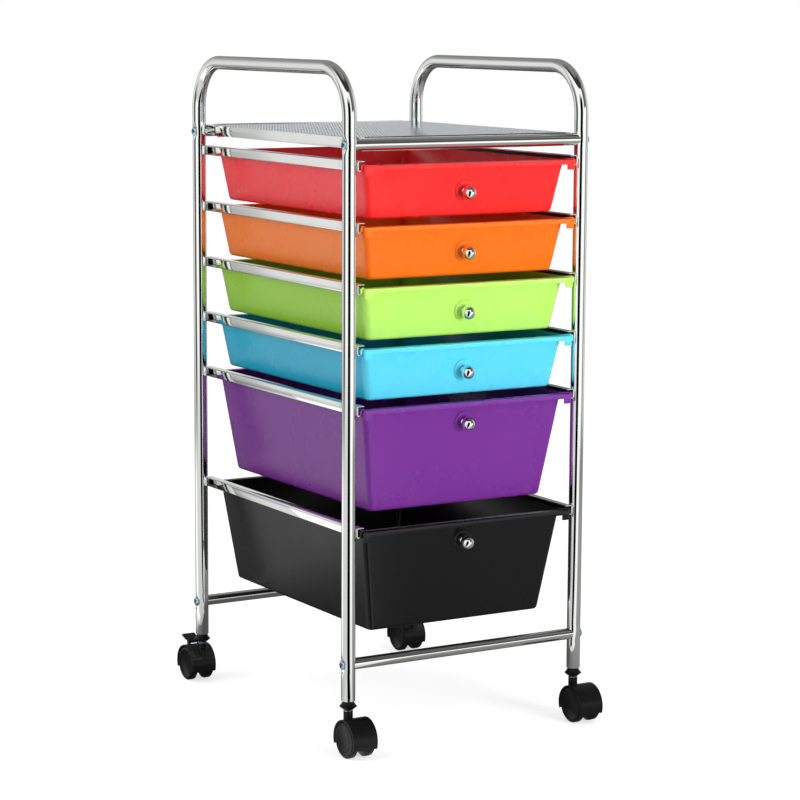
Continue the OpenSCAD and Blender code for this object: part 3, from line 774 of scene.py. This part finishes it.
def drawerBin(number, finish):
    low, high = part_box("drawer_%d_bin" % number)
    sideSlope, frontSlope, backSlope = slopesOf(number)
    t = drawer["wall"] * mm
    height = high.z - low.z
    halfX = high.x - drawer["sideRim"] * mm
    frontY, backY = low.y + drawer["frontRim"] * mm, high.y - drawer["backRim"] * mm
    topZ = high.z - t
    piece = addBox("drawer%dBin" % number, Vector((-halfX, frontY, low.z)), Vector((halfX, backY, topZ)))
    startEdit(piece)
    pickPoints(piece, lambda point: point.z < low.z + t)
    bottomX = halfX - height * sideSlope
    bottomFront = frontY + height * frontSlope
    bottomBack = backY - height * backSlope
    movePicked(piece, lambda p: (math.copysign(bottomX, p.x), bottomFront if p.y < 0 else bottomBack, p.z))
    pickEdges(piece, lambda a, b: abs(a.z - b.z) > height / 2)
    bpy.ops.mesh.bevel(offset=drawer["corner"] * mm, segments=drawer["cornerSteps"], affect="EDGES")
    pickEdges(piece, lambda a, b: a.z < low.z + t and b.z < low.z + t)
    bpy.ops.mesh.bevel(offset=drawer["bottomRound"] * mm, segments=drawer["bottomSteps"], affect="EDGES")
    pickFaces(piece, lambda centre, normal: centre.z > topZ - t and normal.z > 0.9)
    bpy.ops.mesh.delete(type="FACE")

    # the rim grows outwards from the open edge, then turns down
    pickPoints(piece, lambda point: point.z > topZ - 1e-5)
    extrudeBy()
    rimX = high.x - t
    lipX = high.x - drawer["setback"] * mm - t
    railY = low.y + (drawer["tabDepth"] + drawer["railGap"]) * mm
    lipY = low.y + t
    tabX = high.x - (drawer["setback"] + drawer["tabWidth"]) * mm
    rounded = drawer["lipRound"] * mm
    # the front corner's points, from the side round to the front: past the rail's end, then the lip
    frontPath = [
        (rimX, frontY + drawer["sideStart"] * mm), (rimX, railY), (lipX, railY),
        (lipX, railY - drawer["notch"] * mm), (lipX, lipY + rounded), (lipX - rounded, lipY),
        (lipX - drawer["lipFlat"] * mm, lipY), (tabX, lipY), (tabX - drawer["tabStep"] * mm, lipY),
    ]
    backRadius = drawer["backCorner"] * mm
    corner = drawer["corner"] * mm
    steps = drawer["cornerSteps"]

    def outerPlace(point):
        side = math.copysign(1, point.x)
        if point.y < 0:
            centreX, centreY = halfX - corner, frontY + corner
            angle = math.atan2(max(centreY - point.y, 0), max(abs(point.x) - centreX, 0))
            x, y = frontPath[round(angle / (math.pi / 2) * steps)]
            return (side * x, y, point.z)
        centreX, centreY = halfX - corner, backY - corner
        angle = math.atan2(max(point.y - centreY, 0), max(abs(point.x) - centreX, 0))
        angle = round(angle / (math.pi / 2) * steps) / steps * math.pi / 2
        x = rimX - backRadius + backRadius * math.cos(angle)
        y = high.y - t - backRadius + backRadius * math.sin(angle)
        return (side * x, y, point.z)

    movePicked(piece, outerPlace)
    extrudeBy(z=-(drawer["lip"] * mm - t))
    lipZ = high.z - drawer["lip"] * mm

    def tabEdge(a, b):
        atLip = max(abs(a.z - lipZ), abs(b.z - lipZ)) < 1e-4
        atFront = max(a.y, b.y) < railY + 1e-5
        nearer, farther = sorted((abs(a.x), abs(b.x)))
        return atLip and atFront and nearer > tabX - 1e-5 and farther < lipX + 1e-5

    pickEdges(piece, tabEdge)
    extrudeBy(z=-(drawer["tab"] - drawer["lip"]) * mm)
    stopEdit()
    addModifier(piece, "SOLIDIFY", thickness=t, offset=-1, use_even_offset=True)
    softenEdges(piece, drawer["edge"] * mm, 50)

    boss = turnedPiece("boss", drawer["boss"], drawer["bossSides"])
    placeIt(boss, *knobSeat(number))
    piece = joinPieces("drawer%dBin" % number, [piece, boss])
    shadeSmooth(piece)
    return finishPiece(piece, finish, "drawer_%d" % number,
                       ["drawer_%d_bin" % number])


for number, (name, front, restWithPaintedLight, depth) in enumerate(binColours, 1):
    drawerBin(number, binFinish(number, name, front, restWithPaintedLight, depth))
print("drawers made")


# knobs

def ballKnob(number):
    ball = roundOutline(knob["ball"], knob["reach"], knob["ballFrom"], 90, knob["ballSteps"])
    piece = turnedPiece("drawer%dKnob" % number, knob["neck"] + ball, knob["sides"])
    shadeSmooth(piece)
    placeIt(piece, *knobSeat(number))
    return finishPiece(piece, chrome, "drawer_%d" % number, ["drawer_%d_knob" % number])


for number in range(1, 7):
    ballKnob(number)
print("knobs made")


# leg inserts and casters

insert = {   # radius, and height from the foot of the post
    "outline": [
        (5.2, -11), (5.9, -10.6), (9.2, -8), (10.3, -7.1), (10.7, -6.6), (10.3, -6.1), (9.4, -5.3),
        (6.9, -1.2), (6.5, -0.4), (6.5, 6),
    ],
    "sides": 40,
}


def legInserts():
    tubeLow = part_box("left_side_frame")[0]
    radius = tube["radius"]
    foot = tubeLow.z / mm
    postX, postY = abs(tubeLow.x) - radius * mm, abs(tubeLow.y) - radius * mm
    outline = [(size, foot + rise) for size, rise in insert["outline"]]
    inserts = []
    pattern = turnedPiece("insert", outline, insert["sides"])
    shadeSmooth(pattern, 30)
    for x in (-1, 1):
        for y in (-1, 1):
            twin = copyOf(pattern, "insertCopy")
            placeIt(twin, (x * postX, y * postY, 0))
            inserts.append(twin)
    bpy.data.objects.remove(pattern)
    piece = joinPieces("legInserts", inserts)
    finishPiece(piece, satinBlack, "frame", ["leg_inserts"])


legInserts()
print("leg inserts made")


def smoothCopy(node, finish):
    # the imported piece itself, its loose triangles merged and shaded smooth
    source = frame["nodes"][node]
    piece = copyOf(source, node.title().replace("_", ""))
    piece.parent = None
    for key in list(piece.keys()):
        del piece[key]
    pointOutwards(piece)
    shadeSmooth(piece, 30)
    return finishPiece(piece, finish, source["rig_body"], [node])


packedParts = {
    "stem": (zinc, "zinc_steel"), "axle": (zinc, "zinc_steel"), "hood": (satinBlack, "black_plastic"),
    "wheels": (satinBlack, "black_plastic"), "brake_pedal": (satinBlack, "black_plastic"),
}
for corner in ("front_left", "front_right", "rear_left", "rear_right"):
    for part, (finish, slot) in packedParts.items():
        if corner + "_" + part in frame["nodes"]:
            smoothCopy(corner + "_" + part, finish)
for number in range(1, 7):
    smoothCopy("drawer_%d_knob_screw" % number, zinc)
print("casters made")


# camera, light and floor

lens = {
    "place": (-1.6633, -2.8365, 0.88255), "yaw": 30.741, "pitch": 8.488, "roll": 0.3,
    "focal": 117.29, "sensor": 36, "seesTo": 100,
}


def makeCamera():
    data = bpy.data.cameras.new("camera")
    data.lens = lens["focal"]
    data.sensor_width = lens["sensor"]
    data.clip_end = lens["seesTo"]
    camera = bpy.data.objects.new("camera", data)
    bpy.context.scene.collection.objects.link(camera)
    turn = Matrix.Rotation(-math.radians(lens["yaw"]), 3, "Z")
    turn = turn @ Matrix.Rotation(math.pi / 2 - math.radians(lens["pitch"]), 3, "X")
    turn = turn @ Matrix.Rotation(math.radians(lens["roll"]), 3, "Z")
    camera.location = lens["place"]
    camera.rotation_euler = turn.to_euler()
    bpy.context.scene.camera = camera


studio = {
    "keyPlace": (0.83, -3.1, 0.72), "keySize": 1.1, "keyPower": 71,
    "fillPlace": (-2.6, 0.6, 1.3), "fillSize": 2.2, "fillPower": 32, "aim": (0, 0, 0.4),
    "ambient": 0.5, "floorColour": (0.8, 0.8, 0.8, 1), "floorGlow": 0.6, "mirrorLevel": 1.12,
    "floorSize": 60, "floorDrop": 0.2,
    # by the angle from the camera's side, in degrees: how light the wall is, then how much of each patch
    "wall": [
        (-180, 0.17), (-165, 0.22), (-146, 0.42), (-128, 0.55), (-122, 0.7), (-98, 0.75), (-60, 0.95),
        (76, 1), (83, 0.2), (100, 0.2), (107, 0.75), (125, 0.7), (150, 0.35), (165, 0.2), (180, 0.17),
    ],
    "gap": [(-180, 0), (-20, 0), (-14, 1), (21, 1), (27, 0), (180, 0)],
    "streak": [(-180, 0), (-102, 0), (-96, 0.9), (-66, 0.9), (-58, 0), (180, 0)],
    "rear": [(-180, 1), (-140, 1), (-126, 0), (126, 0), (140, 1), (180, 1)],
    "sheen": [(-180, 0), (-142, 0), (-133, 0.48), (-100, 0.48), (-92, 0), (180, 0)],
    "shade": [(-180, 0), (40, 0), (50, 0.92), (76, 0.92), (84, 0), (180, 0)],
    # by the distance over the floor, in metres: how light it is in front and behind, darker near the tower as
    # painted shadow
    "near": [(0, 0.15), (0.15, 0.35), (0.3, 0.65), (0.5, 0.82), (1, 0.9), (2, 0.97), (3, 1)],
    "nearBack": [(0, 0.25), (0.6, 0.38), (1.2, 0.22), (1.8, 0.33), (2.6, 0.7), (3, 0.78)],
    "nearSpan": 3, "ceiling": 0.22, "darkBand": 0.03, "horizon": 0.63, "floorCentre": (-0.02, 0.22),
    # where each part of the world sets in: a height, or how far towards the camera it lies
    "frontSide": (-0.5, 0.2), "backSide": (-0.9, -0.6), "ceilingFront": (0.72, 0.78),
    "ceilingBack": (0.25, 0.6), "bandFrom": (0.94, 0.99), "streakTop": (0.1, 0.5), "gapTop": (0.4, 0.65),
    "horizonTop": (0.1, 0.2), "shadeFrom": (0.14, 0.22),
    # and each part of the floor, in metres; a patch's depth says how dark it is
    "wallFrom": (1.2, 3), "gapFrom": (0.28, 0.36), "streakFrom": (1.6, 3.6), "sheenFrom": (0.35, 0.5),
    "sheenTo": (1.6, 2.6), "rightSlope": 1.89, "rightEdge": (-0.01, 0.01), "rightTo": (2, 3),
    "rightDepth": 0.68, "leftEdge": (-0.25, 0), "leftTo": (2.2, 4.5), "leftDepth": 0.3,
}


def softLight(name, place, size, power):
    data = bpy.data.lights.new(name, "AREA")
    data.size = size
    data.energy = power
    lamp = bpy.data.objects.new(name, data)
    bpy.context.scene.collection.objects.link(lamp)
    lamp.location = place
    lamp.rotation_euler = (Vector(studio["aim"]) - Vector(place)).to_track_quat("-Z", "Y").to_euler()
    lamp.visible_glossy = False


def stepsOf(stops, start, span):
    # stops of a grey ramp, from pairs of a value and a level
    return [((value - start) / span, (level, level, level, 1)) for value, level in stops]


def risesOver(nodes, value, edge, start=0.0, end=1.0):
    # goes smoothly from start to end where the value passes the edge, a pair of numbers
    return nodes.add("ShaderNodeMapRange", {"interpolation_type": "SMOOTHSTEP"},
                     {"Value": value, 1: edge[0], 2: edge[1], 3: start, 4: end})


def fallsOver(nodes, value, edge, start=1.0):
    return risesOver(nodes, value, edge, start, 0.0)


def studioRound(nodes, place, names, centre=(0, 0)):
    # how light the studio looks in the plating and how much of each patch there is, by the angle from
    # the camera's side; and how far the place lies towards the camera and to its right
    yaw = math.radians(lens["yaw"])
    sideways = nodes.add("ShaderNodeVectorMath", {"operation": "DOT_PRODUCT"},
                         {0: place, 1: (math.cos(yaw), -math.sin(yaw), 0)}, 1) - centre[0]
    towards = nodes.add("ShaderNodeVectorMath", {"operation": "DOT_PRODUCT"},
                        {0: place, 1: (-math.sin(yaw), -math.cos(yaw), 0)}, 1) - centre[1]
    angle = nodes.add("ShaderNodeMath", {"operation": "ARCTAN2"}, {0: sideways, 1: towards})
    turn = 0.5 + angle * (0.5 / math.pi)
    ramps = [nodes.add("ShaderNodeValToRGB", {"stops": stepsOf(studio[name], -180, 360)}, {"Fac": turn})
             for name in names]
    return ramps + [towards, sideways]


def makeWorld():
    # what the camera sees is white; what the plating mirrors is a studio with a dark ceiling
    world = bpy.data.worlds.new("studio")
    bpy.context.scene.world = world
    world.use_nodes = True
    nodes = NodeSet(world.node_tree)
    direction = nodes.add("ShaderNodeTexCoord", {}, {}, "Generated")
    path = nodes.add("ShaderNodeLightPath", {}, {}, "Is Camera Ray")
    glossy = Wire(nodes, nodes.last.outputs["Is Glossy Ray"])
    through = Wire(nodes, nodes.last.outputs["Is Transmission Ray"])
    wall, gap, streak, shade, towards = studioRound(nodes, direction, ("wall", "gap", "streak", "shade"))[:-1]
    height = nodes.add("ShaderNodeSeparateXYZ", {}, {0: direction}, 2)
    inFront = risesOver(nodes, towards, studio["frontSide"])
    aboveFront = risesOver(nodes, height, studio["ceilingFront"])
    aboveBack = risesOver(nodes, height, studio["ceilingBack"])
    above = aboveBack + inFront * (aboveFront - aboveBack)
    highest = risesOver(nodes, height, studio["bandFrom"], studio["darkBand"], studio["ceiling"])
    cover = studio["ceiling"] + inFront * (highest - studio["ceiling"])
    lit = wall * (1.0 - gap * fallsOver(nodes, height, studio["gapTop"]))
    lit = lit * (1.0 - streak * fallsOver(nodes, height, studio["streakTop"]))
    behind = fallsOver(nodes, towards, studio["backSide"]) * fallsOver(nodes, height, studio["horizonTop"])
    lit = lit + (studio["horizon"] - lit) * behind
    lit = lit * (1.0 - shade * risesOver(nodes, height, studio["shadeFrom"]))
    mirror = (lit + (cover - lit) * above) * studio["mirrorLevel"]
    seen = nodes.add("ShaderNodeMath", {"operation": "MAXIMUM"}, {0: path, 1: through})
    level = glossy * mirror + (1.0 - glossy) * (seen + (1.0 - seen) * studio["ambient"])
    shine = nodes.add("ShaderNodeBackground", {}, {"Color": (1, 1, 1, 1), "Strength": level})
    nodes.add("ShaderNodeOutputWorld", {}, {"Surface": shine})


def makeFloor():
    clearSelection()
    bpy.ops.mesh.primitive_plane_add(size=studio["floorSize"], location=(0, 0, -studio["floorDrop"] * mm))
    floor = bpy.context.object
    floor.name = "floor"
    material = bpy.data.materials.new("paleFloor")
    material.use_nodes = True
    nodes = NodeSet(material.node_tree)
    place = nodes.add("ShaderNodeTexCoord", {}, {}, "Object")
    reach = nodes.add("ShaderNodeVectorMath", {"operation": "LENGTH"}, {0: place}, 1)
    wall, gap, streak, rear, sheen, towards, sideways = studioRound(
        nodes, place, ("wall", "gap", "streak", "rear", "sheen"), studio["floorCentre"])
    span = studio["nearSpan"]
    near, nearBack = [
        nodes.add("ShaderNodeValToRGB", {"stops": stepsOf(studio[name], 0, span)},
                  {"Fac": reach * (1 / span)})
        for name in ("near", "nearBack")]
    far = risesOver(nodes, reach, studio["wallFrom"])
    # the floor as the plating mirrors it: painted shadow near the tower, darker patches to the right and
    # left, and a painted sheen patch
    lit = (1.0 + far * (wall - 1.0)) * (near + rear * (nearBack - near))
    lit = lit * (1.0 - gap * risesOver(nodes, reach, studio["gapFrom"]))
    right = risesOver(nodes, sideways - studio["rightSlope"] * towards, studio["rightEdge"])
    left = fallsOver(nodes, sideways, studio["leftEdge"])
    lit = lit * (1.0 - right * fallsOver(nodes, reach, studio["rightTo"], studio["rightDepth"]))
    lit = lit * (1.0 - left * fallsOver(nodes, reach, studio["leftTo"], studio["leftDepth"]))
    lit = lit * (1.0 - streak * risesOver(nodes, reach, studio["streakFrom"]))
    patch = risesOver(nodes, reach, studio["sheenFrom"]) * fallsOver(nodes, reach, studio["sheenTo"])
    lit = lit + sheen * patch
    paper = nodes.add("ShaderNodeBsdfDiffuse", {}, {"Color": studio["floorColour"]})
    path = nodes.add("ShaderNodeLightPath", {}, {}, "Is Camera Ray")
    through = Wire(nodes, nodes.last.outputs["Is Transmission Ray"])
    glossy = Wire(nodes, nodes.last.outputs["Is Glossy Ray"])
    shown = (path + through).clamped()
    glow, mirrored = [
        nodes.add("ShaderNodeEmission", {}, {"Color": (1, 1, 1, 1), "Strength": strength})
        for strength in (shown * studio["floorGlow"], lit * studio["mirrorLevel"])]
    both = nodes.add("ShaderNodeAddShader", {}, {0: paper, 1: glow})
    whole = nodes.add("ShaderNodeMixShader", {}, {0: glossy, 1: both, 2: mirrored})
    nodes.add("ShaderNodeOutputMaterial", {}, {"Surface": whole})
    floor.data.materials.append(material)


makeCamera()
softLight("keyLight", studio["keyPlace"], studio["keySize"], studio["keyPower"])
softLight("fillLight", studio["fillPlace"], studio["fillSize"], studio["fillPower"])
makeWorld()
makeFloor()
bpy.context.scene.view_settings.view_transform = "Standard"
print("camera, light and floor made")
